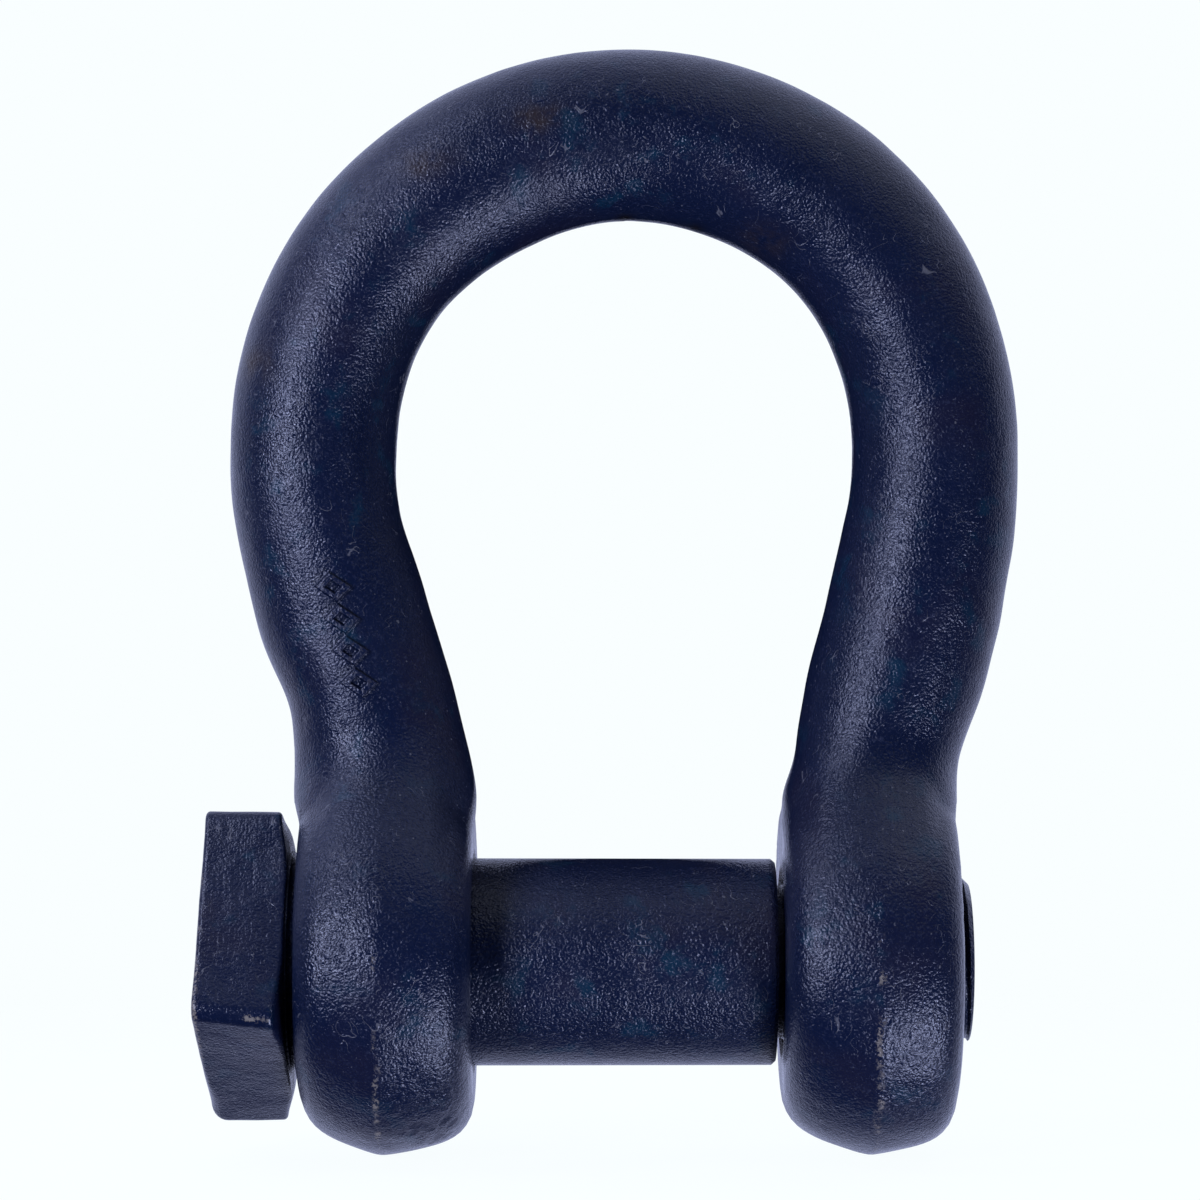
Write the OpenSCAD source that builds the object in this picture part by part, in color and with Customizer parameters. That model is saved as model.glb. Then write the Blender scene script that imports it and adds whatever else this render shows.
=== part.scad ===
// Bow shackle with a square-head screw pin, for a 28 mm bar.
// Two forgings: the bow with its two eyes, and the screw pin.
// Frame: the origin is on the pin's axis, midway between the eyes.
// +X runs along the pin to its threaded end, +Z up to the crown, +Y to the back.
// All sizes are in millimetres.

/* [Bow] */
// Radius of the bow's centreline at the crown
bow_radius = 52.6; // [45:0.1:60]
// Height of the crown arc's centre above the pin's axis
crown_centre_z = 87.4; // [80:0.1:95]
// Length of the upright stretch below the crown arc
bow_side_length = 3.2; // [0:0.1:8]
// Angle of each leg from upright
leg_angle = 15; // [5:0.5:25]
// Radius that turns each leg upright above its eye
leg_turn_radius = 60; // [30:1:90]
// Half thickness of the bar at the crown
crown_half = 14.55; // [12:0.05:16]
// Half thickness of the bar along the legs
leg_half = 14.1; // [12:0.05:16]
// Half width of the leg, front to back, where it meets the eye
leg_root_half_width = 24; // [15:0.5:30]
// Height at which the leg starts to widen towards its eye
leg_widen_z = 46; // [35:1:70]
// How far the left leg's outer side is forged in above its eye
left_shoulder_dip = 1.4; // [0:0.1:3]
// How far the right leg's outer side stands out above its eye
right_shoulder_swell = 1.1; // [0:0.1:3]
// How far both legs' outer sides stand proud of the eyes' flat faces
root_swell = 1.6; // [0:0.1:3]

/* [Eyes] */
// Clear width of the jaw between the two eyes
jaw_width = 51.8; // [48:0.1:58]
// Thickness of each eye along the pin
eye_thickness = 29.2; // [24:0.1:32]
// Radius of each eye at the crest of its rim
eye_radius = 32.8; // [28:0.1:36]
// Fall of the rim from its crest by draft
rim_draft = 2.8; // [0:0.1:4]
// Fall of the rim into each flat face by rounding
rim_round = 6; // [3:0.5:10]
// Radius of the plain bore in the left eye
plain_bore_radius = 18.15; // [17.9:0.05:20]
// Radius of the threaded bore in the right eye, as a plain wall at the crest
thread_bore_radius = 15.0; // [14:0.05:16]
// Chamfer at the mouths of both bores
bore_chamfer = 1.0; // [0.5:0.1:2]

/* [Screw pin] */
// Radius of the plain shank
shank_radius = 17.3; // [16:0.05:18]
// Radius of the threaded end, as a plain cylinder at the crest
thread_radius = 14.92; // [14:0.01:15.9]
// Gap between the shank's shoulder and the right eye
shoulder_gap = 1.0; // [0.2:0.1:2]
// Length of the threaded end standing out of the right eye
thread_stand_out = 2.5; // [0:0.1:8]
// Chamfer at the tip of the threaded end
tip_chamfer = 1.6; // [0.5:0.1:3]
// Chamfer at the shank's shoulder
shoulder_chamfer = 0.8; // [0.3:0.1:2]
// Fillet between the shank and the head
neck_fillet = 1.2; // [0.5:0.1:1.9]
// Gap between the head and the left eye
head_gap = 1.4; // [1:0.1:4]
// Width of the square head across its flats
head_flats = 40.2; // [32:0.1:46]
// Thickness of the square head along the pin
head_thickness = 15.0; // [10:0.1:20]
// Rounding of the head's four long edges
head_corner = 2.6; // [0.5:0.1:6]
// Chamfer of the head's corners at its two ends
head_end_chamfer = 1.2; // [0.5:0.1:3]
// Turn of the head's top corner towards the front
head_turn = 12; // [0:1:45]
// How far the head was forged off the pin's axis, downwards
head_drop = 0.9; // [0:0.1:2]
// Radius of the core rod inside the pin
core_radius = 5; // [3:0.5:8]
// Depth of the core rod's inner end inside the shank
core_depth = 60; // [20:1:70]

/* [Output] */
// The node to draw
// Steps along a quarter of the crown
crown_steps = 15; // [8:1:24]
// Points around the bar
bar_points = 28; // [16:4:36]

/* [Hidden] */
paint = [0.15, 0.18, 0.32];
paint_pin = [0.14, 0.17, 0.30];
steel = [0.45, 0.45, 0.48];
eye_in = jaw_width / 2;
eye_out = eye_in + eye_thickness;
eye_mid = (eye_in + eye_out) / 2;
bow_low_z = crown_centre_z - bow_side_length;
leg_top_x = bow_radius * cos(leg_angle);
leg_top_z = bow_low_z - bow_radius * sin(leg_angle);
turn_run = leg_turn_radius * (1 - cos(leg_angle));
leg_end_x = eye_mid + turn_run;
leg_end_z = leg_top_z - (leg_top_x - leg_end_x) / tan(leg_angle);
root_z = leg_end_z - leg_turn_radius * sin(leg_angle);
root_bottom_z = 4;
head_in = -eye_out - head_gap;
head_out = head_in - head_thickness;
shoulder_x = eye_in - shoulder_gap;
tip_x = eye_out + thread_stand_out;
core_start_x = shoulder_x - core_depth;

// Each station of the right half: x, z, and the angle of the outward normal
crown_part = [for (i = [0 : crown_steps])
    let (a = 90 - 90 * i / crown_steps)
    [bow_radius * cos(a), crown_centre_z + bow_radius * sin(a), a]];
lower_part = [for (i = [0 : 4])
    let (a = -leg_angle * i / 4)
    [bow_radius * cos(a), bow_low_z + bow_radius * sin(a), a]];
leg_part = [for (i = [1 : 9])
    let (t = i / 10)
    [leg_top_x + (leg_end_x - leg_top_x) * t, leg_top_z + (leg_end_z - leg_top_z) * t, -leg_angle]];
turn_part = [for (i = [0 : 5])
    let (a = leg_angle * (1 - i / 5))
    [eye_mid + leg_turn_radius * (1 - cos(a)), root_z + leg_turn_radius * sin(a), -a]];
root_part = [for (i = [1 : 4])
    [eye_mid, root_z + (root_bottom_z - root_z) * i / 4, 0]];
right_half = concat(crown_part, lower_part, leg_part, turn_part, root_part);
half_count = len(right_half);

// The whole path, from the left leg's root over the crown to the right leg's root
left_half = [for (i = [half_count - 1 : -1 : 1])
    [-right_half[i][0], right_half[i][1], 180 - right_half[i][2]]];
path = concat(left_half, right_half);

// A smooth rise from 0 to 1
function ease(t) = let (u = min(1, max(0, t))) u * u * (3 - 2 * u);

// Half width front to back at a height
function half_width(z) = leg_half + (leg_root_half_width - leg_half) * ease((leg_widen_z - z) / 36);

// Half thickness common to both sides at a height
function half_thick(z) = z > crown_centre_z
    ? leg_half + (crown_half - leg_half) * (z - crown_centre_z) / bow_radius
    : leg_half + 0.4 * exp(-pow((z - 58) / 9, 2)) - 0.7 * ease((26 - z) / 14);

// Extra thickness on the outer side, for the forged shoulder above each eye
function outer_extra(x, z) =
    root_swell * exp(-pow((z - 30) / 6.5, 2))
    + (x < 0
        ? -left_shoulder_dip * exp(-pow((z - 46) / 5, 2))
        : right_shoulder_swell * exp(-pow((z - 51) / 8, 2)));

function section(p) =
    let (x = p[0], z = p[1], a = p[2], b = half_width(z), h = half_thick(z))
    [for (k = [0 : bar_points - 1])
        let (t = 360 * k / bar_points)
        let (r = cos(t) > 0 ? h + outer_extra(x, z) : h)
        [x + cos(a) * r * cos(t), b * sin(t), z + sin(a) * r * cos(t)]];

module bow_bar() {
    rings = len(path);
    points = [for (p = path) each section(p)];
    sides = [for (i = [0 : rings - 2])
        for (k = [0 : bar_points - 1])
            let (a = i * bar_points + k)
            let (b = i * bar_points + (k + 1) % bar_points)
            each [[a, b, b + bar_points], [a, b + bar_points, a + bar_points]]];
    first_cap = [[for (k = [bar_points - 1 : -1 : 0]) k]];
    last_cap = [[for (k = [0 : bar_points - 1]) (rings - 1) * bar_points + k]];
    polyhedron(points = points, faces = concat(sides, first_cap, last_cap), convexity = 6);
}

// Fall of the rim below its crest, from 0 at mid thickness to 1 at a face
function rim_fall(u) = rim_draft * u + rim_round * (1 - sqrt(1 - pow(u, 5)));

// One eye, standing on the pin's axis
module eye(centre_x) {
    steps = [-1, -0.97, -0.92, -0.84, -0.72, -0.55, -0.3, 0, 0.3, 0.55, 0.72, 0.84, 0.92, 0.97, 1];
    rim = [for (u = steps) [eye_radius - rim_fall(abs(u)), u * eye_thickness / 2]];
    profile = concat([[0, -eye_thickness / 2]], rim, [[0, eye_thickness / 2]]);
    translate([centre_x, 0, 0])
        rotate([0, 90, 0])
            rotate_extrude($fn = 96)
                polygon(profile);
}

// A bore through an eye, with a chamfer at both mouths
module bore(x0, x1, radius) {
    over = 1;
    translate([x0 - over, 0, 0])
        rotate([0, 90, 0])
            cylinder(r = radius, h = x1 - x0 + 2 * over, $fn = 96);
    translate([x0 - over, 0, 0])
        rotate([0, 90, 0])
            cylinder(r1 = radius + bore_chamfer + over, r2 = radius, h = bore_chamfer + over, $fn = 96);
    translate([x1 - bore_chamfer, 0, 0])
        rotate([0, 90, 0])
            cylinder(r1 = radius, r2 = radius + bore_chamfer + over, h = bore_chamfer + over, $fn = 96);
}

// The bow: one forged bar with an eye at each end, the left bored plain, the right threaded
module bow() {
    color(paint)
        difference() {
            union() {
                bow_bar();
                eye(-eye_mid);
                eye(eye_mid);
            }
            bore(-eye_out, -eye_in, plain_bore_radius);
            bore(eye_in, eye_out, thread_bore_radius);
        }
}

// The square head, turned and dropped from the pin's axis, with its end corners cut back
module head() {
    half = head_flats / 2;
    corner_reach = (half - head_corner) * sqrt(2) + head_corner;
    cut_r = corner_reach - 1.1 * head_end_chamfer;
    translate([head_out, 0, -head_drop])
        rotate([0, 90, 0])
            intersection() {
                rotate([0, 0, 45 - head_turn])
                    linear_extrude(height = head_thickness)
                        offset(r = head_corner, $fn = 48)
                            square(head_flats - 2 * head_corner, center = true);
                rotate_extrude($fn = 96)
                    polygon([
                        [0, 0],
                        [cut_r, 0],
                        [cut_r + 2 * head_end_chamfer, 1.6 * head_end_chamfer],
                        [cut_r + 2 * head_end_chamfer, head_thickness - 1.6 * head_end_chamfer],
                        [cut_r, head_thickness],
                        [0, head_thickness]
                    ]);
            }
}

// The shank and the threaded end as one turned profile, with the core rod's seat left open
module shank() {
    rotate([0, 90, 0])
        rotate_extrude($fn = 96)
            polygon([
                [0, head_in - 2],
                [shank_radius + neck_fillet, head_in - 2],
                [shank_radius + neck_fillet, head_in],
                [shank_radius, head_in + neck_fillet],
                [shank_radius, shoulder_x - shoulder_chamfer],
                [shank_radius - shoulder_chamfer, shoulder_x],
                [thread_radius, shoulder_x],
                [thread_radius, tip_x - tip_chamfer],
                [thread_radius - tip_chamfer, tip_x],
                [core_radius + 0.05, tip_x],
                [core_radius + 0.05, core_start_x - 0.05],
                [0, core_start_x - 0.05]
            ]);
}

// The screw pin: square head, plain shank and threaded end in one forging
module pin() {
    color(paint_pin)
        union() {
            head();
            shank();
        }
}

// The core rod along the pin's axis, which carries the pin's travel
module pin_core() {
    color(steel)
        translate([core_start_x, 0, 0])
            rotate([0, 90, 0])
                cylinder(r = core_radius, h = tip_x - core_start_x, $fn = 48);
}

bow();
pin();
pin_core();
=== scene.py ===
import math

import bmesh
import bpy
import numpy as np
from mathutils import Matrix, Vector


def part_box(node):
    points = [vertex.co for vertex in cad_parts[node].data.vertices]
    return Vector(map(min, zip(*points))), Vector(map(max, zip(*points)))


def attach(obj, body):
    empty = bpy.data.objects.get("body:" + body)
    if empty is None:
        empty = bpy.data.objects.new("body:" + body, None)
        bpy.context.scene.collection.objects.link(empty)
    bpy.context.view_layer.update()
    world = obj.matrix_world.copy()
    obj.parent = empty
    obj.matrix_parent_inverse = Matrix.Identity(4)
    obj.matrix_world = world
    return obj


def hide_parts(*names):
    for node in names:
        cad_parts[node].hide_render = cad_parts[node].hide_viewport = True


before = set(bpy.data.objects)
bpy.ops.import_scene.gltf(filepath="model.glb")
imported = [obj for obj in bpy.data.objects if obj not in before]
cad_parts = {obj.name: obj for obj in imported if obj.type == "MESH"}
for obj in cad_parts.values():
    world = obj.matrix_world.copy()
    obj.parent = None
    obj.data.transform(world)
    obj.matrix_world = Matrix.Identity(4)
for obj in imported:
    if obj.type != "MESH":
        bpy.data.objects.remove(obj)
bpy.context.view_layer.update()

# Lengths are worked out in millimetres and put into the meshes in metres.
MM = 0.001

bow_low, bow_high = (np.array(c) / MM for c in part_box("bow"))
pin_low, pin_high = (np.array(c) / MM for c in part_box("pin"))
core_low, core_high = (np.array(c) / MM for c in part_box("pin_core"))

# The bow's drawing sizes
EYE_RADIUS = -bow_low[2] - 0.05
EYE_IN, EYE_OUT = 25.9, 55.1
EYE_MID = (EYE_IN + EYE_OUT) / 2
EYE_HALF = (EYE_OUT - EYE_IN) / 2
BOW_RADIUS = 52.6
CROWN_Z = 87.4
SIDE_RUN = 3.2
LEG_ANGLE = math.radians(15)
LEG_TURN = 60.0
PLAIN_BORE = 18.15
CHAMFER = 1.0

# The screw pin's drawing sizes
HEAD_OUT, TIP = pin_low[0], pin_high[0]
HEAD_IN = HEAD_OUT + 15.0
SHOULDER = EYE_IN - 1.0
SHANK = 17.3
PITCH = 3.5
# The thread's radii: the crest and root of the pin's and of the eye's, and where their flanks would meet
CREST = 14.92
MALE_ROOT = 12.9
MALE_SHARP = CREST + 0.38
FEMALE_CREST = 13.25
FEMALE_ROOT = CREST + 0.22
FEMALE_SHARP = CREST + 0.63
CORE = core_high[2]
HEAD_HALF = 20.1
HEAD_CORNER = 2.6
HEAD_TURN = math.radians(12)
HEAD_DROP = 0.9


# ---------------------------------------------------------------- shaping tools

def ease(t):
    """A smooth rise from 0 to 1 as t goes from 0 to 1: t squared times (3 - 2t)."""
    t = np.clip(t, 0, 1)
    return t * t * (3 - 2 * t)


def bump(x, centre, width):
    """A bell of height 1 at centre: e to the minus ((x - centre) / width) squared."""
    return np.exp(-((x - centre) / width) ** 2)


def lumps(points, size, seed):
    """Smooth random swelling from -1 to 1: a seeded lattice of values, one every size mm, joined smoothly."""
    table = np.random.default_rng(seed).uniform(-1, 1, (32, 32, 32))
    p = points / size + 100.0
    cell = np.floor(p).astype(int)
    f = ease(p - cell)
    total = np.zeros(len(points))
    for dx in (0, 1):
        for dy in (0, 1):
            for dz in (0, 1):
                w = (f[:, 0] if dx else 1 - f[:, 0]) * (f[:, 1] if dy else 1 - f[:, 1])
                w = w * (f[:, 2] if dz else 1 - f[:, 2])
                total += w * table[(cell[:, 0] + dx) % 32, (cell[:, 1] + dy) % 32, (cell[:, 2] + dz) % 32]
    return total


def grid_faces(rows, columns, closed, first=0):
    """Quads over a grid of points numbered row by row; closed joins the last column to the first."""
    last = columns if closed else columns - 1
    i, k = np.meshgrid(np.arange(rows - 1), np.arange(last), indexing="ij")
    n = (k + 1) % columns
    quads = np.stack([i * columns + k, i * columns + n, (i + 1) * columns + n, (i + 1) * columns + k], -1)
    return quads.reshape(-1, 4) + first


def make_piece(name, points, faces, smooth_angle=40):
    """A mesh object from points in mm and a list of face arrays, doubles merged and faces turned outwards."""
    mesh = bpy.data.meshes.new(name)
    mesh.from_pydata((points * MM).tolist(), [], [f for block in faces for f in block.tolist()])
    piece = bpy.data.objects.new(name, mesh)
    bpy.context.scene.collection.objects.link(piece)
    work = bmesh.new()
    work.from_mesh(mesh)
    bmesh.ops.remove_doubles(work, verts=work.verts, dist=1e-7)
    bmesh.ops.recalc_face_normals(work, faces=work.faces)
    work.to_mesh(mesh)
    work.free()
    mesh.shade_smooth()
    mesh.set_sharp_from_angle(angle=math.radians(smooth_angle))
    return piece


def mesh_points(mesh):
    """The mesh's points in mm, as an array."""
    flat = np.zeros(len(mesh.vertices) * 3)
    mesh.vertices.foreach_get("co", flat)
    return flat.reshape(-1, 3) / MM


def mesh_normals(mesh):
    """The smooth normal at each point, as an array."""
    flat = np.zeros(len(mesh.vertices) * 3)
    mesh.vertex_normals.foreach_get("vector", flat)
    return flat.reshape(-1, 3)


def push(mesh, amount):
    """Moves each point along its normal by amount mm."""
    moved = mesh_points(mesh) + mesh_normals(mesh) * amount[:, None]
    mesh.vertices.foreach_set("co", (moved * MM).ravel())
    mesh.update()


def mark(mesh, name, values):
    """Stores one value a point as a named attribute for the materials."""
    layer = mesh.attributes.new(name, "FLOAT", "POINT")
    layer.data.foreach_set("value", values.astype(np.float32))


def turned(name, profile, count, smooth_angle=40):
    """A closed turning about the pin's axis: the profile's (x, radius) points swept round a full turn."""
    profile = np.array(profile, float)
    angle = np.linspace(0, 2 * np.pi, count, endpoint=False)
    x = np.repeat(profile[:, 0], count)
    r = np.repeat(profile[:, 1], count)
    a = np.tile(angle, len(profile))
    points = np.stack([x, r * np.cos(a), r * np.sin(a)], -1)
    return make_piece(name, points, [grid_faces(len(profile), count, True)], smooth_angle)


# ---------------------------------------------------------------- the bow

CROWN_RUN = BOW_RADIUS * math.pi / 2
LOWER_RUN = BOW_RADIUS * LEG_ANGLE
LEG_X = BOW_RADIUS * math.cos(LEG_ANGLE)
LEG_Z = CROWN_Z - SIDE_RUN - BOW_RADIUS * math.sin(LEG_ANGLE)
LEG_RUN = (LEG_X - EYE_MID - LEG_TURN * (1 - math.cos(LEG_ANGLE))) / math.sin(LEG_ANGLE)
TURN_RUN = LEG_TURN * LEG_ANGLE
ROOT_Z = LEG_Z - LEG_RUN * math.cos(LEG_ANGLE) - LEG_TURN * math.sin(LEG_ANGLE)
HALF_RUN = CROWN_RUN + SIDE_RUN + LOWER_RUN + LEG_RUN + TURN_RUN + ROOT_Z


def bow_line(s):
    """The bow's centreline at a distance s mm from the crown, as x, z and the outward normal's angle.

    A quarter circle, a short upright, a further 15 degrees of arc, a straight leg, an arc the other
    way that brings the leg upright, and an upright run down to the pin's axis.
    """
    marks = np.cumsum([0, CROWN_RUN, SIDE_RUN, LOWER_RUN, LEG_RUN, TURN_RUN])
    d = [s - m for m in marks]
    zones = [s <= m for m in marks[1:]] + [s > marks[-1]]
    a1 = np.pi / 2 - d[0] / BOW_RADIUS
    a3 = -d[2] / BOW_RADIUS
    a5 = LEG_ANGLE - d[4] / LEG_TURN
    one = np.ones_like(s)
    x = np.select(zones, [BOW_RADIUS * np.cos(a1), BOW_RADIUS * one, BOW_RADIUS * np.cos(a3),
                          LEG_X - d[3] * math.sin(LEG_ANGLE), EYE_MID + LEG_TURN * (1 - np.cos(a5)),
                          EYE_MID * one])
    z = np.select(zones, [CROWN_Z + BOW_RADIUS * np.sin(a1), CROWN_Z - d[1],
                          CROWN_Z - SIDE_RUN + BOW_RADIUS * np.sin(a3),
                          LEG_Z - d[3] * math.cos(LEG_ANGLE), ROOT_Z + LEG_TURN * np.sin(a5), ROOT_Z - d[5]])
    a = np.select(zones, [a1, 0 * one, a3, -LEG_ANGLE * one, -a5, 0 * one])
    return x, z, a


# Half thickness of the bar at heights above the pin's axis, outside and inside of each leg
HEIGHTS = np.array([0, 18, 23, 28, 32, 36, 40, 44, 48,
                    52, 57, 61, 65, 70, 76, 84, 100])
OUTSIDE_LEFT = np.array([13.9, 14.0, 15.2, 15.9, 15.6, 15.0, 14.4, 13.5, 13.2,
                         14.1, 14.9, 15.1, 15.0, 14.7, 14.3, 14.1, 14.1])
OUTSIDE_RIGHT = np.array([13.9, 14.0, 14.9, 15.2, 14.8, 14.5, 14.5, 14.9, 15.5,
                          15.6, 15.5, 15.5, 15.0, 14.6, 14.2, 14.1, 14.1])
INSIDE_LEFT = np.array([13.9, 14.0, 14.7, 15.2, 14.8, 14.3, 14.4, 14.5, 14.4,
                        14.3, 14.1, 14.1, 13.9, 13.7, 13.8, 14.0, 14.1])
INSIDE_RIGHT = np.array([13.9, 14.0, 14.3, 14.7, 12.9, 13.2, 13.6, 14.0, 14.1,
                         14.1, 14.2, 14.3, 14.4, 14.5, 14.3, 14.1, 14.1])


def along_leg(z, sizes):
    """A size drawn at a few heights, joined by straight lines and then evened out over about 3 mm."""
    fine = np.linspace(0, 170, 681)
    drawn = np.interp(fine, HEIGHTS, sizes)
    weights = np.exp(-(np.arange(-24, 25) / 10.0) ** 2)
    padded = np.pad(drawn, 24, mode="edge")
    even = np.convolve(padded, weights / weights.sum(), mode="valid")
    crown = 0.42 * ease((z - CROWN_Z) / BOW_RADIUS)
    return np.interp(z, fine, even) + crown


def rim_fall(u, draft):
    """Fall of an eye's rim below its crest: a straight draft, and a rounding that steepens to the faces."""
    u = np.clip(u, 0, 1)
    return draft * u + 6.0 * (1 - np.sqrt(np.clip(1 - u ** 5, 0, 1)))


def crest_offset(side):
    """How far the rim's crest and its flash stand outwards of the eye's middle: the dies met off centre."""
    return np.where(side < 0, 0.6, 0.5)


def eye_field(x, y, z, side):
    """Below zero inside an eye: under its crowned rim and between its two flat faces.

    The rim falls both ways from its crest, which is rounded more towards the top, and it falls
    faster on the left side of each eye's underside.
    """
    v = x * side - EYE_MID
    off = crest_offset(side)
    reach = np.where(v > off, EYE_HALF - off, EYE_HALF + off)
    soft = 2.0 + 3.0 * ease(z / 20)
    u = (np.hypot(v - off, soft) - soft) / (np.hypot(reach, soft) - soft)
    draft = 2.8 + 1.9 * ease((-z - 6) / 18) * ease(0.5 - (v - off) * side / 3)
    rim = np.hypot(y, z) - (EYE_RADIUS - 0.2 - rim_fall(u, draft))
    return np.maximum(rim, np.abs(v) - EYE_HALF)


def bar_field(out, across, x, z, side):
    """Below zero inside the bar: an ellipse whose outer and inner halves have their own thickness.

    Round the crown the thicknesses swell and shrink a little with the angle from level, as it was bent.
    """
    angle = np.degrees(np.arctan2(z - CROWN_Z, x))
    high = ease((z - CROWN_Z) / 12)
    outside = np.where(side < 0, along_leg(z, OUTSIDE_LEFT),
                       along_leg(z, OUTSIDE_RIGHT) + 0.2 * high * bump(angle, 40, 25))
    inside = np.where(side < 0, along_leg(z, INSIDE_LEFT) + 0.75 * high * bump(angle, 62, 18),
                      along_leg(z, INSIDE_RIGHT) - 0.7 * high * bump(angle, 42, 20))
    thick = np.where(out > 0, outside, inside)
    wide = 14.1 + 0.35 * ease((z - CROWN_Z) / BOW_RADIUS) + 9.5 * ease((41 - z) / 28)
    power = 2 + 0.5 * ease((40 - z) / 20)
    size = (np.abs(out / thick) ** power + np.abs(across / wide) ** power) ** (1 / power)
    return (size - 1) * 14


def joined(a, b, reach):
    """The two shapes in one, with a fillet of about that reach where they meet."""
    h = np.clip(0.5 + 0.5 * (b - a) / reach, 0, 1)
    return b * (1 - h) + a * h - reach * h * (1 - h)


def step_out(field, shape, far=48.0):
    """The distance from the centre at which the field reaches zero, halved down to it thirty times."""
    low, high = np.zeros(shape), np.full(shape, far)
    for _ in range(30):
        middle = (low + high) / 2
        inside = field(middle) < 0
        low, high = np.where(inside, middle, low), np.where(inside, high, middle)
    return (low + high) / 2


def on_left_leg(p):
    """Distances from the left leg's centreline and along it from the axis, by the leg's own slope."""
    x = -(LEG_X - (LEG_Z - p[:, 2]) * math.tan(LEG_ANGLE))
    return (p[:, 0] - x) * math.cos(LEG_ANGLE), p[:, 2] / math.cos(LEG_ANGLE)


ROWS, COLUMNS, FAN = 560, 128, 82
tau = np.linspace(0, 2 * np.pi, COLUMNS, endpoint=False)
around = tau + 0.24 * np.sin(2 * tau)


def bow_forging():
    """The bow's outer skin.

    Each row is a section square to the centreline, its points found by stepping out from the centre
    at set angles. Below the pin's axis the rows fan round each eye about that axis instead.
    """
    s = np.linspace(-HALF_RUN, HALF_RUN, ROWS)
    cx, cz, a = bow_line(np.abs(s))
    side = np.where(s < 0, -1.0, 1.0)
    cx, cz, a, side_col = cx[:, None], cz[:, None], a[:, None], side[:, None]
    c, d = np.cos(around)[None, :], np.sin(around)[None, :]

    def section(r):
        """Below zero where a point r mm out from the row's centre is inside the bar and eye together."""
        out, across = r * c, r * d
        x = side_col * (cx + out * np.cos(a))
        z = cz + out * np.sin(a)
        bar = bar_field(out, across, cx, cz, side_col)
        eye = eye_field(x, across, z, side_col)
        from_middle = np.abs(x * side_col - EYE_MID)
        both = joined(bar, eye, 0.5 + 4.5 * ease((13 - from_middle) / 5))
        low = ease((27 - z) / 8)
        return np.where(cz < 60, both * (1 - low) + np.maximum(both, from_middle - EYE_HALF) * low, bar)

    r = step_out(section, (ROWS, COLUMNS))
    x = side_col * (cx + r * c * np.cos(a))
    y = r * d
    z = cz + r * c * np.sin(a)
    skin = np.stack([x, y, z], -1).reshape(-1, 3)
    across_line = (r * c).ravel()
    faces = [grid_faces(ROWS, COLUMNS, True)]

    half = COLUMNS // 2
    beta = np.linspace(0, np.pi, FAN)[1:-1, None]
    cols = around[1:half][None, :]
    points, lines, end_faces = [skin], [across_line], []
    count = len(skin)
    for hand, row in ((-1.0, 0), (1.0, ROWS - 1)):
        dx, dy, dz = np.cos(cols) * hand, np.sin(cols) * np.cos(beta), -np.sin(cols) * np.sin(beta)

        def fan(r):
            """Below zero where a point r mm out from the eye's middle is inside the eye."""
            return eye_field(hand * EYE_MID + r * dx, r * dy, r * dz, hand)

        r = step_out(fan, dy.shape)
        fan_points = np.stack([hand * EYE_MID + r * dx, r * dy, r * dz], -1).reshape(-1, 3)
        points.append(fan_points)
        lines.append((r * dx * hand).ravel())
        inner = np.arange(len(fan_points)).reshape(FAN - 2, half - 1) + count
        start = row * COLUMNS
        first = start + np.arange(0, half + 1)
        last = start + (COLUMNS - np.arange(0, half + 1)) % COLUMNS
        ends = np.full((FAN - 2, 1), start), np.full((FAN - 2, 1), start + half)
        net = np.vstack([first, np.hstack([ends[0], inner, ends[1]]), last])
        quads = np.stack([net[:-1, :-1], net[:-1, 1:], net[1:, 1:], net[1:, :-1]], -1)
        pole_a = quads[:, 0][1:-1][:, [0, 1, 2]]
        pole_b = quads[:, -1][1:-1][:, [0, 1, 3]]
        ends_rows = quads[[0, -1]].reshape(-1, 4)
        ends_rows = [[v for n, v in enumerate(q) if v not in q[:n]] for q in ends_rows.tolist()]
        faces += [quads[1:-1, 1:-1].reshape(-1, 4), pole_a, pole_b]
        end_faces += ends_rows
        count += len(fan_points)
    faces = [face for block in faces for face in block.tolist()]
    return np.vstack(points), np.concatenate(lines), faces + end_faces


skin, across_line, skin_faces = bow_forging()
mesh = bpy.data.meshes.new("bow_forging")
mesh.from_pydata((skin * MM).tolist(), [], skin_faces)
bow = bpy.data.objects.new("bow_forging", mesh)
bpy.context.scene.collection.objects.link(bow)
mark(mesh, "across", across_line)
# the marked stretch of the left leg is cut finer, so that the raised mark is crisp
corners = mesh_points(mesh)
over, _ = on_left_leg(corners)
marked = (np.abs(over) < 3.6) & (corners[:, 2] > 43.5) & (corners[:, 2] < 67.5) & (corners[:, 1] < -8)
edge_ends = np.zeros(len(mesh.edges) * 2, np.int32)
mesh.edges.foreach_get("vertices", edge_ends)
finer = np.flatnonzero(marked[edge_ends.reshape(-1, 2)].all(axis=1)).tolist()
work = bmesh.new()
work.from_mesh(mesh)
work.edges.ensure_lookup_table()
bmesh.ops.subdivide_edges(work, edges=[work.edges[n] for n in finer], cuts=3, use_grid_fill=True)
bmesh.ops.recalc_face_normals(work, faces=work.faces)
work.to_mesh(mesh)
work.free()
mesh.shade_smooth()
across_line = np.zeros(len(mesh.vertices))
mesh.attributes["across"].data.foreach_get("value", across_line)


def arc_shift(z):
    """The bow was bent a little off centre: how far its arcs stand to the left, by height."""
    return 0.55 * ease((z - 62) / 22) * (1 - ease((z - 118) / 30))


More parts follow.
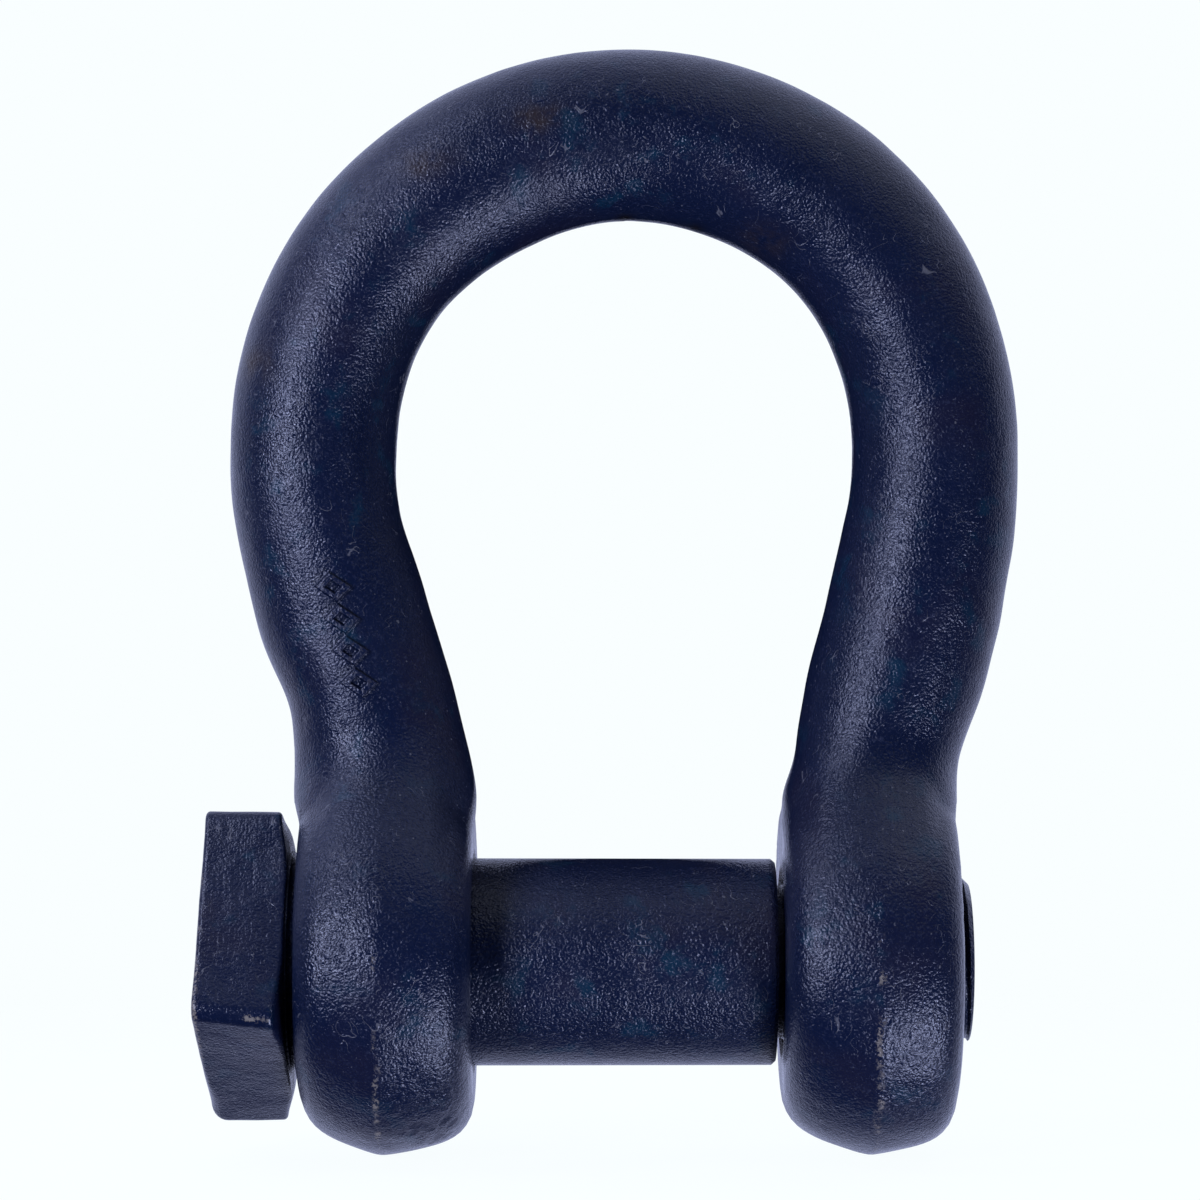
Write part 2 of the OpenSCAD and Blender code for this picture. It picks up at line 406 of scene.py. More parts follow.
def flash_line(p, across):
    """The low ridge where the dies met, round each rim's crest and fading out up the legs."""
    side = np.where(p[:, 0] < 0, -1.0, 1.0)
    v = np.abs(p[:, 0]) - EYE_MID
    low = ease((46 - p[:, 2]) / 24)
    from_line = across * (1 - low) + (v - crest_offset(side)) * low
    eye = np.where(side < 0, 0.08, 0.10 + 0.2 * ease((2 - p[:, 2]) / 14))
    eye = eye * (1 - 0.6 * ease((-20 - p[:, 2]) / 8))
    strength = eye * ease((40 - p[:, 2]) / 26)
    rim = np.clip((np.hypot(p[:, 1], np.minimum(p[:, 2], 0)) - 12) / 3, 0, 1)
    broken = 0.75 + 0.5 * lumps(p, 3.5, 6)
    return bump(from_line, 0.3 * lumps(p * [0, 1, 1], 9, 5), 0.55) * rim * strength * broken


def size_mark(p):
    """Four plain lozenges down the front of the left leg, each a rib 0.85 mm high round a hollow."""
    over, along = on_left_leg(p)
    total = np.zeros(len(p))
    for n in range(4):
        middle = (47.6 + 5.3 * n) / math.cos(LEG_ANGLE)
        away = np.abs(along - middle) * 0.75 + np.abs(over) * 0.66 - 1.35
        total = np.maximum(total, ease((0.70 - np.abs(away)) / 0.32))
    return 0.85 * total * (p[:, 1] < -9)


def creases(p):
    """Short laps forged into the lower inner side of the left eye: thin folds along a wavy set of lines."""
    near = bump(p[:, 0], -33.5, 7) * ease((-14 - p[:, 2]) / 5) * ease((p[:, 2] + 31.5) / 4) * (p[:, 1] < 0)
    wave = p[:, 2] * 1.1 + 0.45 * p[:, 0] + 2.2 * lumps(p, 4, 41)
    return -0.55 * near * (1 - np.abs(np.sin(wave))) ** 2 * ease(0.5 + 1.2 * lumps(p, 5, 42))


p = mesh_points(mesh)
swell = 0.13 * lumps(p, 15, 1) + 0.07 * lumps(p, 6.5, 2) + 0.03 * lumps(p, 3, 3)
flat_face = (np.abs(np.abs(p[:, 0]) - EYE_MID) > EYE_HALF - 0.02) & (p[:, 2] < 27)
swell = np.where(flat_face, 0.15 * swell, swell) - 0.1
push(mesh, swell + flash_line(p, across_line) + size_mark(p) + creases(p))
p = mesh_points(mesh)
p[:, 0] -= arc_shift(p[:, 2])
p[:, 1] = np.clip(p[:, 1], bow_low[1] + 0.02, bow_high[1] - 0.02)
p[:, 2] = np.clip(p[:, 2], bow_low[2] + 0.02, bow_high[2] - 0.02)
mesh.vertices.foreach_set("co", (p * MM).ravel())
mesh.update()


def bore_cutter(name, x0, x1, r):
    """The metal a bore takes out: a cylinder that opens into a 45 degree chamfer at both mouths."""
    c = CHAMFER
    profile = [(x0 - 2, 0), (x0 - 2, r + c + 2), (x0 + c, r), (x1 - c, r), (x1 + 2, r + c + 2), (x1 + 2, 0)]
    return turned(name, profile, 128)


def cut(piece, cutter):
    """Takes the cutter's shape out of the piece for good."""
    tool = piece.modifiers.new("cut", "BOOLEAN")
    tool.operation = "DIFFERENCE"
    tool.solver = "EXACT"
    tool.object = cutter
    bpy.context.view_layer.update()
    done = bpy.data.meshes.new_from_object(piece.evaluated_get(bpy.context.evaluated_depsgraph_get()))
    piece.modifiers.remove(tool)
    old = piece.data
    piece.data = done
    bpy.data.meshes.remove(old)
    bpy.data.objects.remove(cutter)
    done.name = piece.name


cut(bow, bore_cutter("plain_bore", -EYE_OUT, -EYE_IN, PLAIN_BORE))
cut(bow, bore_cutter("thread_bore", EYE_IN, EYE_OUT, FEMALE_ROOT + 0.1))
bow.data.shade_smooth()
bow.data.set_sharp_from_angle(angle=math.radians(38))


# ---------------------------------------------------------------- the thread

def thread_radius(x, angle, sharp, low, high):
    """The radius of a right-hand 60 degree thread at each x and angle.

    It falls from the sharp crest by 1.732 mm for each mm along, cut off at low and high.
    """
    turn = x / PITCH - angle / (2 * np.pi)
    from_crest = np.abs(turn - np.round(turn)) * PITCH
    return np.clip(sharp - from_crest * math.tan(math.radians(60)), low, high)


def threaded_lining():
    """The thread cut in the right eye: a helical inner wall with a lead-in at each end.

    A plain outer wall, set into the forging, closes it.
    """
    x = np.linspace(EYE_IN + 0.55, EYE_OUT - 0.55, 200)
    count = 112
    angle = np.linspace(0, 2 * np.pi, count, endpoint=False)
    X, A = np.meshgrid(x, angle, indexing="ij")
    wall = thread_radius(X, A, FEMALE_SHARP, FEMALE_CREST, FEMALE_ROOT)
    lead = np.maximum(x[0] + 1.4 - X, X - x[-1] + 1.4)
    wall = np.maximum(wall, FEMALE_CREST + 1.5 * np.clip(lead, 0, 9))
    wall = np.minimum(wall, FEMALE_ROOT + 0.1)
    inner = np.stack([X, wall * np.cos(A), wall * np.sin(A)], -1)
    outer_x = np.array([x[-1], x[0]])
    OX, OA = np.meshgrid(outer_x, angle, indexing="ij")
    outside = FEMALE_ROOT + 0.9
    outer = np.stack([OX, outside * np.cos(OA), outside * np.sin(OA)], -1)
    points = np.concatenate([inner, outer, inner[:1]], 0)
    return make_piece("right_eye_thread", points.reshape(-1, 3), [grid_faces(len(points), count, True)], 50)


def shank_radius(x):
    """The shank's radius: a slight taper to its shoulder, a fillet at the head, a chamfer at the shoulder."""
    r = SHANK + 0.25 - 0.15 * (x - HEAD_IN) / (SHOULDER - HEAD_IN)
    fillet = np.clip(1 - (x - HEAD_IN) / 1.2, 0, 1)
    r = r + 1.2 * (1 - np.sqrt(np.clip(1 - fillet ** 2, 0, 1)))
    return r - np.clip(x - (SHOULDER - 0.7), 0, 0.7) * 0.9


def pin_shank():
    """Shank, shoulder and threaded end in one skin: a radius for each x and angle.

    The tip's recess is closed behind the core rod.
    """
    count = 144
    angle = np.linspace(0, 2 * np.pi, count, endpoint=False)
    plain_x = np.concatenate([[HEAD_IN - 3], HEAD_IN + 1.2 * (1 - np.cos(np.linspace(0, np.pi / 2, 7))),
                              np.linspace(HEAD_IN + 2.2, SHOULDER - 1.6, 78),
                              [SHOULDER - 0.7, SHOULDER - 0.35, SHOULDER]])
    thread_x = np.linspace(SHOULDER, TIP, 190)
    PX, PA = np.meshgrid(plain_x, angle, indexing="ij")
    plain = shank_radius(np.maximum(PX, HEAD_IN))
    TX, TA = np.meshgrid(thread_x, angle, indexing="ij")
    cut_r = thread_radius(TX, TA, MALE_SHARP, MALE_ROOT, CREST)
    cut_r = cut_r + (MALE_ROOT - cut_r) * ease((SHOULDER + 2.4 - TX) / 1.4)
    cut_r = np.minimum(cut_r, CREST - 1.7 + (TIP - TX))
    recess = CORE + 0.1
    caps = [(TIP, 12.6), (TIP, 9.0), (TIP, recess + 0.25), (TIP - 0.3, recess),
            (TIP - 1.2, recess), (TIP - 1.2, 0)]
    rows = [np.stack([PX, plain * np.cos(PA), plain * np.sin(PA)], -1),
            np.stack([TX, cut_r * np.cos(TA), cut_r * np.sin(TA)], -1)]
    start = np.stack([np.full(count, plain_x[0]), 0 * angle, 0 * angle], -1)[None]
    ends = [np.stack([np.full(count, x), r * np.cos(angle), r * np.sin(angle)], -1)[None] for x, r in caps]
    points = np.concatenate([start] + rows + ends, 0)
    return make_piece("pin_shank", points.reshape(-1, 3), [grid_faces(len(points), count, True)], 42)


def square_reach(angle):
    """How far a square with rounded corners reaches at each angle: its flat side, or its corner's circle."""
    near = np.abs((angle + np.pi / 4) % (np.pi / 2) - np.pi / 4)
    flat = HEAD_HALF / np.cos(near)
    inner = HEAD_HALF - HEAD_CORNER
    spread = inner * (np.cos(near) - np.sin(near))
    corner = inner * (np.cos(near) + np.sin(near)) + np.sqrt(np.clip(HEAD_CORNER ** 2 - spread ** 2, 0, None))
    return np.where(HEAD_HALF * np.tan(near) <= inner, flat, corner)


def pin_head():
    """The square head: each ring is the rounded square, drawn in over both end edges.

    The edge rounding grows at the lowest corner, where the forging did not fill. The outer face leans
    so that its front side stands out further, the inner face falls back at the corners, and the
    square twists a little along the pin.
    """
    count = 224
    base = np.linspace(0, 2 * np.pi, count, endpoint=False)
    angle = (base + 0.19 * np.sin(4 * base))[None, :]
    reach = square_reach(angle)
    # corners stand at 45 degrees on the square, and the top one is turned towards the front
    spin = angle + np.pi / 4 + HEAD_TURN
    from_bottom = np.abs((spin - HEAD_TURN) % (2 * np.pi) - np.pi)
    outer_edge = 0.9 + 2.3 * bump(from_bottom, 0, 0.42)
    inner_edge = np.full_like(from_bottom, 0.9)
    quarter = np.linspace(0, np.pi / 2, 8)[:, None]
    face = np.linspace(0, 1, 26)[:, None]
    side = np.linspace(0, 1, 24)[1:-1, None]
    x0, x1 = HEAD_OUT + 0.1, HEAD_IN - 0.1
    flat = 0 * reach
    x = np.concatenate([x0 + 0 * face + flat, x0 + outer_edge * (1 - np.cos(quarter[1:])),
                        (x0 + outer_edge) * (1 - side) + (x1 - inner_edge) * side,
                        x1 - inner_edge * (1 - np.sin(quarter)), x1 + 0 * face[1:] + flat])
    r = np.concatenate([face * (reach - outer_edge), reach - outer_edge * (1 - np.sin(quarter[1:])),
                        reach + 0 * side, reach - inner_edge * (1 - np.cos(quarter)),
                        face[::-1][1:] * (reach - inner_edge)])
    r = r * (1 - 0.012 * (x1 - x) / (x1 - x0))
    spin = spin + np.radians(1.7) * (1 - 2 * (x1 - x) / (x1 - x0))
    y, z = -r * np.sin(spin), r * np.cos(spin) - HEAD_DROP
    share = (x1 - x) / (x1 - x0)
    x = x + share * (0.45 + 0.45 * y / 28 + 0.2 * (1 - r / 28)) - (1 - share) * 1.3 * ease((r - 20.5) / 6.5)
    points = np.stack([x, y, z], -1)
    piece = make_piece("pin_head", points.reshape(-1, 3), [grid_faces(len(points), count, True)], 60)
    p = mesh_points(piece.data)
    push(piece.data, 0.1 * lumps(p, 9, 11) + 0.06 * lumps(p, 3.5, 12) - 0.05)
    return piece


def core_rod():
    """The middle of the pin: a rod whose end fills the tip's recess, with the lathe's centre hole in it."""
    r, x0, x1 = CORE - 0.02, core_low[0], TIP - 0.05
    profile = [(x0, 0), (x0, r), (x1 - 0.5, r), (x1 - 0.2, r - 0.1), (x1, r - 0.5),
               (x1, 2.9), (x1 - 0.1, 2.6), (x1 - 1.6, 1.0), (x1 - 2.4, 0.7), (x1 - 2.6, 0)]
    return turned("pin_core_rod", profile, 64, 35)


lining = threaded_lining()
shank = pin_shank()
head = pin_head()
core = core_rod()


# ---------------------------------------------------------------- wear and stain masks

def spots(p, places, size):
    """Rises to 1 near any of the named places, with a ragged edge."""
    total = np.zeros(len(p))
    for place in places:
        total = np.maximum(total, np.exp(-(np.linalg.norm((p - place) / size, axis=1)) ** 2))
    return np.clip(total * (1 + 0.5 * lumps(p, 2.5, 21)), 0, 1)


def bow_marks(piece):
    """Flash worn through in spots along the rims, pale paint on the raised mark's ribs that is partly rubbed
    paint and partly a painted highlight, rust smudges on the arc and chips inside the crown.
    """
    p = mesh_points(piece.data)
    side = np.where(p[:, 0] < 0, -1.0, 1.0)
    v = np.abs(p[:, 0]) - EYE_MID - crest_offset(side)
    rim = (np.hypot(p[:, 1], p[:, 2]) > 26) & (p[:, 2] < 30) & (p[:, 1] < 0)
    z = p[:, 2]
    right = 0.62 * ease((-4 - z) / 3) * (1 - 0.4 * ease((-24 - z) / 4))
    right = right + 1.1 * bump(z, 0.4, 1.5) + 0.35 * bump(z, 6, 3)
    left = 0.30 * bump(z, 4, 5) + 0.42 * ease((-4 - z) / 10)
    worn = bump(v, 0.3 * lumps(p, 3, 24), 0.42) * rim * np.where(side > 0, right, left)
    worn = np.clip(worn * (1 + 0.9 * lumps(p, 1.6, 22)), 0, 1)
    # the raised mark's ribs take a little of the pale worn colour: partly rubbed paint, partly a painted
    # highlight along the ribs
    mark(piece.data, "wear_and_highlight", np.maximum(worn, 0.16 * size_mark(p)))
    rust = spots(p, [(-33.5, -12, 134), (-15, -13, 141.5), (-61.5, -8, 101), (22, -12, 121)], (4.2, 8, 2.6))
    mark(piece.data, "rust", rust * 0.8)
    chips = spots(p, [(-0.4, -3, 125.6), (11.4, -3, 123.9), (0.8, 3, 125.6)], (1.3, 2.4, 0.8))
    mark(piece.data, "chip", chips)


def pin_marks(piece):
    """Paint worn off along the head's corner edges, most of all the nearest one, and round its outer face."""
    p = mesh_points(piece.data)
    z = p[:, 2] + HEAD_DROP
    radius = np.hypot(p[:, 1], z)
    near = np.exp(-((p[:, 1] + 26.5) / 3) ** 2 - ((z + 5.7) / 3.5) ** 2)
    corner = ease((radius - 27.0) / 0.4) * (0.28 + 0.6 * near)
    rim = ease((HEAD_OUT + 1.5 - p[:, 0]) / 0.9) * ease((radius - 19) / 1.5) * ease((-8 - p[:, 1]) / 6) * 0.5
    worn = np.where(p[:, 0] < HEAD_IN, np.maximum(corner, rim), 0)
    mark(piece.data, "wear_and_highlight", np.clip(worn * (0.8 + 0.9 * lumps(p, 2.2, 31)), 0, 1))
    mark(piece.data, "rust", np.zeros(len(p)))
    mark(piece.data, "chip", np.zeros(len(p)))


bow_marks(bow)
for piece in (lining, shank, head, core):
    pin_marks(piece)


# ---------------------------------------------------------------- materials

def add(tree, kind, **inputs):
    """A node of that kind, with the given sockets set."""
    node = tree.nodes.new(kind)
    for key, value in inputs.items():
        node.inputs[key.replace("_", " ")].default_value = value
    return node


def ramp(tree, source, stops):
    """A colour ramp from a value, with (place, colour) stops."""
    node = tree.nodes.new("ShaderNodeValToRGB")
    while len(node.color_ramp.elements) < len(stops):
        node.color_ramp.elements.new(0.5)
    for element, (place, colour) in zip(node.color_ramp.elements, stops):
        element.position = place
        element.color = (*colour, 1) if len(colour) == 3 else colour
    tree.links.new(source, node.inputs["Fac"])
    return node.outputs["Color"]


def level(tree, source, low, high, to_low=0.0, to_high=1.0):
    """A value mapped from one range to another, held at both ends."""
    node = tree.nodes.new("ShaderNodeMapRange")
    node.interpolation_type = "SMOOTHSTEP"
    for key, value in (("From Min", low), ("From Max", high), ("To Min", to_low), ("To Max", to_high)):
        node.inputs[key].default_value = value
    tree.links.new(source, node.inputs["Value"])
    return node.outputs["Result"]


def noise(tree, vector, scale, detail=2.0, rough=0.5, warp=0.0):
    """Smooth noise from 0 to 1, with about scale lumps in a metre."""
    node = add(tree, "ShaderNodeTexNoise", Scale=scale, Detail=detail, Roughness=rough, Distortion=warp)
    tree.links.new(vector, node.inputs["Vector"])
    return node.outputs["Fac"]


def maths(tree, how, a, b=None):
    """One sum on one or two values, each a number or a socket."""
    node = tree.nodes.new("ShaderNodeMath")
    node.operation = how
    for n, value in enumerate((a, b)):
        if value is None:
            continue
        if isinstance(value, (int, float)):
            node.inputs[n].default_value = value
        else:
            tree.links.new(value, node.inputs[n])
    return node.outputs[0]


def scaled(tree, value, by):
    """The value times a number or another value."""
    return maths(tree, "MULTIPLY", value, by)


def summed(tree, *values):
    """The values added up, from the first to the last."""
    total = values[0]
    for value in values[1:]:
        total = maths(tree, "ADD", total, value)
    return total


def blend(tree, share, a, b):
    """Colour a turned into colour b by the share."""
    node = tree.nodes.new("ShaderNodeMix")
    node.data_type = "RGBA"
    tree.links.new(share, node.inputs["Factor"])
    for port, value in ((node.inputs[6], a), (node.inputs[7], b)):
        if isinstance(value, tuple):
            port.default_value = (*value, 1)
        else:
            tree.links.new(value, port)
    return node.outputs[2]


def socket(group, name, how, kind, value=None):
    """A named socket on a node group."""
    made = group.interface.new_socket(name=name, in_out=how, socket_type=kind)
    if value is not None:
        made.default_value = value
    return made


# The paint's colours, and what lies on it or shows through it
NAVY_DEEP = (0.0035, 0.0085, 0.0300)
NAVY = (0.0050, 0.0105, 0.0350)
NAVY_WARM = (0.0120, 0.0120, 0.0310)
TEAL = (0.0020, 0.0280, 0.0560)
# lighter blue for painted glints on the grain's raised tops
GLINT_SPECK_BLUE = (0.0460, 0.0560, 0.0980)
BROWN = (0.0360, 0.0240, 0.0200)
DUST = (0.20, 0.20, 0.21)
# pale worn paint, also used as a painted highlight on the raised mark's ribs
BARE_AND_HIGHLIGHT = (0.24, 0.21, 0.17)
HOLLOW = (0.008, 0.006, 0.007)


def forged_paint_group():
    """Navy paint over a forged skin: colour, roughness and height in mm, from Object coordinates."""
    group = bpy.data.node_groups.new("forged_paint", "ShaderNodeTree")
    socket(group, "Vector", "INPUT", "NodeSocketVector")
    socket(group, "Wear_and_highlight", "INPUT", "NodeSocketFloat", 0.0)
    socket(group, "Rust", "INPUT", "NodeSocketFloat", 0.0)
    socket(group, "Chip", "INPUT", "NodeSocketFloat", 0.0)
    socket(group, "Grain", "INPUT", "NodeSocketFloat", 1.0)
    socket(group, "Drawn", "INPUT", "NodeSocketFloat", 0.0)
    socket(group, "Color", "OUTPUT", "NodeSocketColor")
    socket(group, "Roughness", "OUTPUT", "NodeSocketFloat")
    socket(group, "Height", "OUTPUT", "NodeSocketFloat")
    start = group.nodes.new("NodeGroupInput")
    end = group.nodes.new("NodeGroupOutput")
    at, wear_and_highlight, rust, chip, grain, drawn = (
        start.outputs[name] for name in ("Vector", "Wear_and_highlight", "Rust", "Chip", "Grain", "Drawn"))

    # grain: blasted steel under thin paint, finest first, and shallow hammered waves
    bead = add(group, "ShaderNodeTexVoronoi", Scale=2200.0)
    group.links.new(at, bead.inputs["Vector"])
    dome = maths(group, "SUBTRACT", 1.0, maths(group, "POWER", bead.outputs["Distance"], 2.0))
    fine = noise(group, at, 2700)
    coarse = noise(group, at, 1250, 1.5)
    # the eyes and the shank are the coarser ones
    apart = add(group, "ShaderNodeSeparateXYZ")
    group.links.new(at, apart.inputs[0])
    low = level(group, apart.outputs["Z"], 0.015, 0.055, 1.0, 0.35)
    wave = noise(group, at, 170)

    # colour: navy, with purple-brown clouds, teal where the paint is thin, and lighter specks on the grain's
    # raised tops, which are painted glints
    cloud = noise(group, at, 60, 3)
    navy = ramp(group, cloud, [(0.30, NAVY_DEEP), (0.52, NAVY), (0.74, NAVY_WARM)])
    teal_share = scaled(group, level(group, noise(group, at, 150, 4, 0.6), 0.54, 0.70),
                        level(group, noise(group, at, 36), 0.40, 0.60))
    colour = blend(group, scaled(group, teal_share, 0.8), navy, TEAL)
    # painted glints: the raised tops of the grain turned lighter blue
    raised_grain = summed(group, scaled(group, fine, 0.6), scaled(group, coarse, 0.4))
    painted_glints = level(group, raised_grain, 0.52, 0.70)
    colour = blend(group, scaled(group, painted_glints, 0.42), colour, GLINT_SPECK_BLUE)
    rust_share = scaled(group, rust, level(group, noise(group, at, 260, 4, 0.6), 0.32, 0.58))
    colour = blend(group, rust_share, colour, BROWN)
    # pale dust specks, and thin curled fibres and scratches along the edges of a slow noise
    curl = noise(group, at, 300, 1, 0.4, 0.8)
    from_middle = maths(group, "ABSOLUTE", maths(group, "SUBTRACT", curl, 0.5))
    line = level(group, from_middle, 0.0, 0.010, 1.0, 0.0)
    hair = scaled(group, line, level(group, noise(group, at, 210, 1, 0.4), 0.61, 0.65))
    speck = level(group, noise(group, at, 1500, 1, 0.4), 0.735, 0.79)
    pale = maths(group, "MAXIMUM", scaled(group, hair, 0.6), scaled(group, speck, 0.5))
    colour = blend(group, pale, colour, DUST)
    # paint worn to bare steel, and the same pale colour as a painted highlight on the raised mark's ribs
    ragged = level(group, noise(group, at, 1500, 3, 0.7), 0.40, 0.60)
    worn = level(group, scaled(group, wear_and_highlight, ragged), 0.06, 0.42)
    colour = blend(group, worn, colour, BARE_AND_HIGHLIGHT)
    colour = blend(group, chip, colour, HOLLOW)
    group.links.new(colour, end.inputs["Color"])

    # roughness: satin, glossier where the paint lies thick
    patch = level(group, noise(group, at, 130, 3), 0.3, 0.7, 0.18, 0.27)
    group.links.new(summed(group, patch, scaled(group, worn, 0.15)), end.inputs["Roughness"])

    # height: each pattern times its depth in mm
    cell = add(group, "ShaderNodeTexVoronoi", Scale=170.0)
    group.links.new(at, cell.inputs["Vector"])
    pit = level(group, cell.outputs["Distance"], 0.0, 0.16, 1.0, 0.0)
    pit = scaled(group, pit, level(group, noise(group, at, 85, 1), 0.52, 0.62))
    along = add(group, "ShaderNodeMapping", Scale=(1.0, 0.05, 0.05))
    group.links.new(at, along.inputs["Vector"])
    lines = scaled(group, noise(group, along.outputs[0], 1100, 3, 0.6), drawn)
    skin_grain = summed(group, scaled(group, fine, 0.140), scaled(group, scaled(group, coarse, low), 0.140),
                        scaled(group, dome, 0.065))
    height = summed(group, scaled(group, skin_grain, grain), scaled(group, wave, 0.26),
                    scaled(group, lines, 0.08), scaled(group, pit, -0.07), scaled(group, chip, -0.25),
                    scaled(group, hair, 0.04))
    group.links.new(height, end.inputs["Height"])
    return group


paint_group = forged_paint_group()


def painted(name, grain, drawn=0.0):
    """Satin navy paint on a forging, with its grain, wear and stains."""
    material = bpy.data.materials.new(name)
    material.use_nodes = True
    tree = material.node_tree
    shader = tree.nodes["Principled BSDF"]
    shader.inputs["Specular IOR Level"].default_value = 0.5
    place = tree.nodes.new("ShaderNodeTexCoord")
    paint = tree.nodes.new("ShaderNodeGroup")
    paint.node_tree = paint_group
    paint.inputs["Grain"].default_value = grain
    paint.inputs["Drawn"].default_value = drawn
    tree.links.new(place.outputs["Object"], paint.inputs["Vector"])
    for label in ("wear_and_highlight", "rust", "chip"):
        layer = tree.nodes.new("ShaderNodeAttribute")
        layer.attribute_name = label
        tree.links.new(layer.outputs["Fac"], paint.inputs[label.capitalize()])
    relief = add(tree, "ShaderNodeBump", Strength=1.0, Distance=MM)
    tree.links.new(paint.outputs["Height"], relief.inputs["Height"])
    tree.links.new(relief.outputs["Normal"], shader.inputs["Normal"])
    tree.links.new(paint.outputs["Color"], shader.inputs["Base Color"])
    tree.links.new(paint.outputs["Roughness"], shader.inputs["Roughness"])
    return material


bow_paint = painted("bow_navy_paint", 1.0)
shank_paint = painted("shank_navy_paint", 1.1, 0.25)
head_paint = painted("head_navy_paint", 0.6, 1.0)
thread_paint = painted("thread_navy_paint", 0.4)

for piece, material, body, slot in ((bow, bow_paint, "bow", "bow_paint"),
                                    (lining, thread_paint, "bow", "bow_paint"),
                                    (head, head_paint, "pin", "pin_paint"),
                                    (shank, shank_paint, "pin", "pin_paint"),
                                    (core, thread_paint, "pin_slider", "pin_core_steel")):
    piece.data.materials.clear()
    piece.data.materials.append(material)
    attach(piece, body)
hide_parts("bow")
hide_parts("pin")
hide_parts("pin")
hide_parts("pin_core")


# ---------------------------------------------------------------- stage, light and camera

def floor_disc():
    """A round pale floor just under the eyes: rings about the upright axis.

    It fades out into the white room.
    """
    radii = np.array([0, 50, 150, 300, 600])
    count = 96
    angle = np.linspace(0, 2 * np.pi, count, endpoint=False)
    R, A = np.meshgrid(radii, angle, indexing="ij")
    top = np.full(R.shape, bow_low[2] - 0.15)
    points = np.stack([R * np.cos(A), R * np.sin(A), top], -1).reshape(-1, 3)
    disc = make_piece("floor", points, [grid_faces(len(radii), count, True)])
    normals = np.zeros(len(disc.data.polygons) * 3)
    disc.data.polygons.foreach_get("normal", normals)
    if normals[2] < 0:
        disc.data.flip_normals()
    material = bpy.data.materials.new("floor_white")
    material.use_nodes = True
    tree = material.node_tree
    shader = tree.nodes["Principled BSDF"]
    shader.inputs["Base Color"].default_value = (0.07, 0.07, 0.05, 1)
    shader.inputs["Roughness"].default_value = 0.9
    shader.inputs["Specular IOR Level"].default_value = 0.0
    shader.inputs["Emission Color"].default_value = (0.925, 0.970, 0.985, 1)
    shader.inputs["Emission Strength"].default_value = 1.0
    place = tree.nodes.new("ShaderNodeTexCoord")
    length = tree.nodes.new("ShaderNodeVectorMath")
    length.operation = "LENGTH"
    tree.links.new(place.outputs["Object"], length.inputs[0])
    tree.links.new(level(tree, length.outputs["Value"], 0.08, 0.30, 1.0, 0.0), shader.inputs["Alpha"])
    disc.data.materials.append(material)
    disc.visible_glossy = False
    disc.visible_shadow = False
    disc.visible_diffuse = False
    return disc


def reflected_shade_card():
    """An oval black card behind the bow's opening, out of sight: rings of an ellipse.

    It is seen only in reflections, as painted shade: it keeps the bow's inner edges dark, as the shade inside
    the bow would.
    """
    half_wide, half_high, behind, middle_z = 37, 52, 20.0, 70
    share = np.array([0, 0.5, 1.0])
    count = 64
    angle = np.linspace(0, 2 * np.pi, count, endpoint=False)
    R, A = np.meshgrid(share, angle, indexing="ij")
    points = np.stack([half_wide * R * np.cos(A), np.full_like(R, behind),
                       middle_z + half_high * R * np.sin(A)], -1).reshape(-1, 3)
    card = make_piece("reflected_shade_card", points, [grid_faces(len(share), count, True)])
    material = bpy.data.materials.new("reflected_shade_black")
    material.use_nodes = True
    shader = material.node_tree.nodes["Principled BSDF"]
    # near black, seen only in reflections: painted shade for the bow's inner edges
    shader.inputs["Base Color"].default_value = (0.004, 0.005, 0.01, 1)
    shader.inputs["Specular IOR Level"].default_value = 0.0
    card.data.materials.append(material)
    card.visible_camera = False
    card.visible_shadow = False
    card.visible_diffuse = False
    return card


floor_disc()
# a dark card seen only in reflections: painted shade on the bow's inner edges
reflected_shade_card()


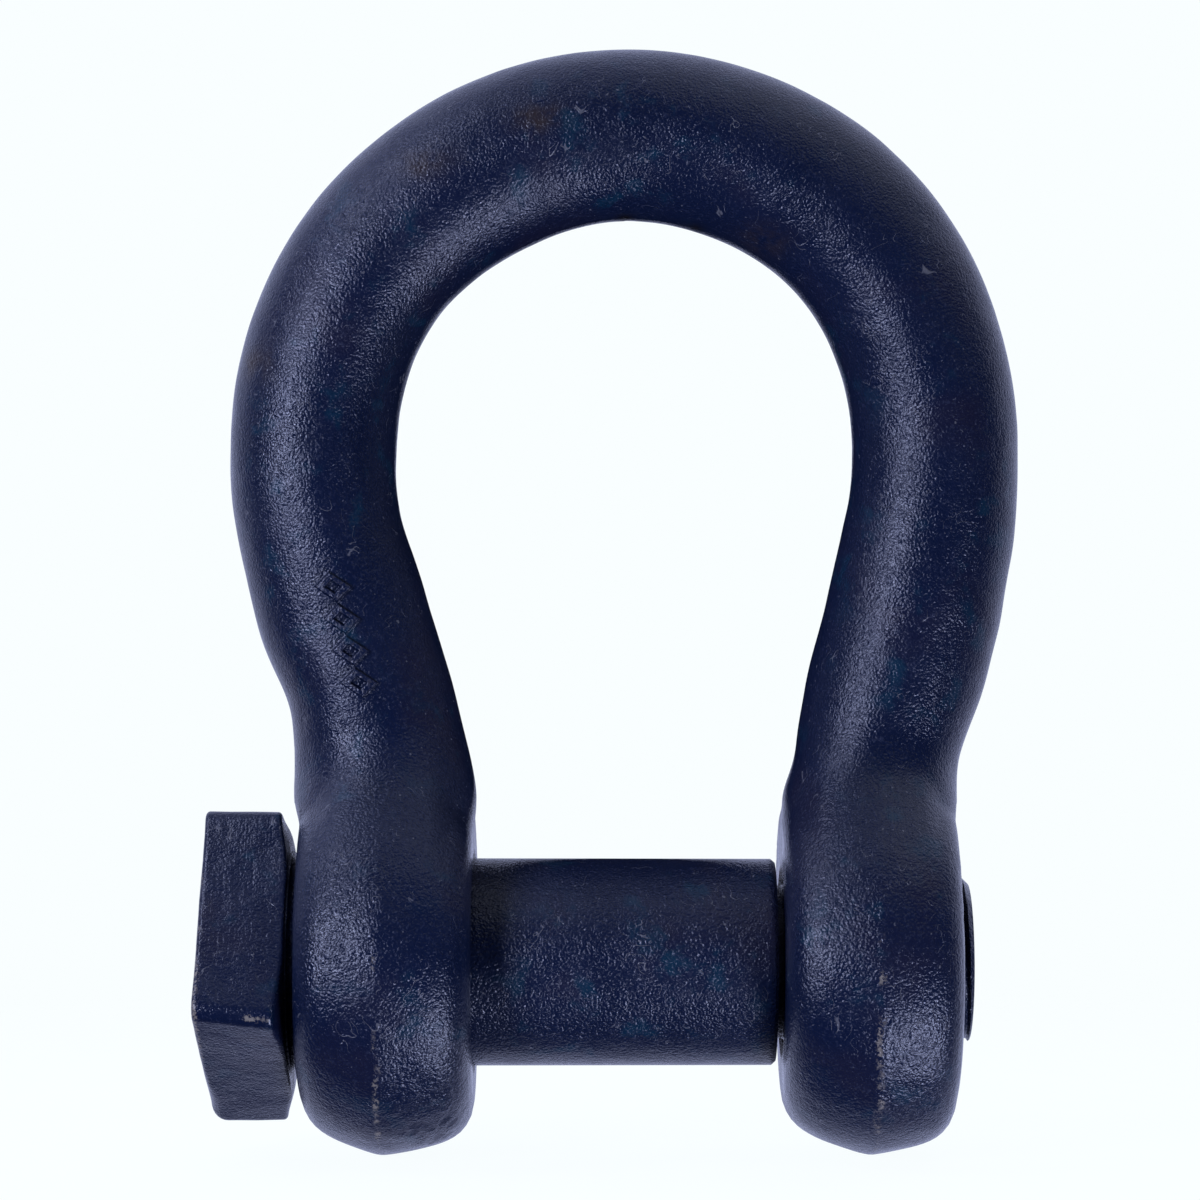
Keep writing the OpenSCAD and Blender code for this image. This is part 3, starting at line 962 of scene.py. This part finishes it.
def studio():
    """A room that looks white. In reflections it is bright behind the object, dim in front and grey above."""
    world = bpy.data.worlds.new("white_studio")
    bpy.context.scene.world = world
    world.use_nodes = True
    tree = world.node_tree
    tree.nodes.clear()
    out = tree.nodes.new("ShaderNodeOutputWorld")
    both = tree.nodes.new("ShaderNodeMixShader")
    path = tree.nodes.new("ShaderNodeLightPath")
    seen = add(tree, "ShaderNodeBackground", Color=(0.947, 0.991, 1.0, 1), Strength=1.0)
    room = tree.nodes.new("ShaderNodeBackground")
    where = tree.nodes.new("ShaderNodeTexCoord")
    split = tree.nodes.new("ShaderNodeSeparateXYZ")
    tree.links.new(where.outputs["Generated"], split.inputs[0])
    upwards = maths(tree, "MULTIPLY", split.outputs["Z"], 0.25)
    back = level(tree, maths(tree, "ADD", split.outputs["Y"], upwards), -0.10, 0.75)
    walls = blend(tree, back, (0.020, 0.022, 0.034), (0.66, 0.72, 1.08))
    ceiling = level(tree, split.outputs["Z"], 0.75, 1.0, 0.0, 0.6)
    tree.links.new(blend(tree, ceiling, walls, (0.50, 0.54, 0.74)), room.inputs["Color"])
    tree.links.new(path.outputs["Is Camera Ray"], both.inputs["Fac"])
    tree.links.new(room.outputs[0], both.inputs[1])
    tree.links.new(seen.outputs[0], both.inputs[2])
    tree.links.new(both.outputs[0], out.inputs["Surface"])


studio()


def softbox(name, place, aim, size, watts, colour=(0.60, 0.66, 1.0)):
    """A square area light at a place in metres, aimed at a point."""
    data = bpy.data.lights.new(name, "AREA")
    data.shape = "SQUARE"
    data.size = size
    data.energy = watts
    data.color = colour
    light = bpy.data.objects.new(name, data)
    light.location = place
    light.rotation_euler = (Vector(aim) - Vector(place)).to_track_quat("-Z", "Y").to_euler()
    bpy.context.scene.collection.objects.link(light)
    return light


softbox("left_light", (-0.45, -0.54, 0.13), (0, 0, 0.05), 0.21, 3.6)
softbox("upper_left_light", (-0.44, -0.22, 0.56), (-0.03, 0, 0.12), 0.24, 1.3)
softbox("upper_right_light", (0.34, -0.20, 0.62), (0.02, 0, 0.10), 0.6, 0.5, (0.80, 0.86, 1.0))
softbox("lower_right_light", (0.38, -0.36, -0.43), (0.02, 0, 0.02), 0.24, 3.5)

camera_data = bpy.data.cameras.new("camera")
camera = bpy.data.objects.new("camera", camera_data)
bpy.context.scene.collection.objects.link(camera)
# in metres: how far it stands, and how wide its frame is at the pin's axis
CAMERA_DISTANCE = 0.670
FRAME_WIDTH = 0.2034
camera_data.sensor_width = 36
camera_data.lens = camera_data.sensor_width * CAMERA_DISTANCE / FRAME_WIDTH
camera.location = (-0.00467, -CAMERA_DISTANCE, 0.0613)
camera.rotation_euler = (math.pi / 2, 0, 0)
bpy.context.scene.camera = camera
bpy.context.scene.view_settings.view_transform = "Standard"
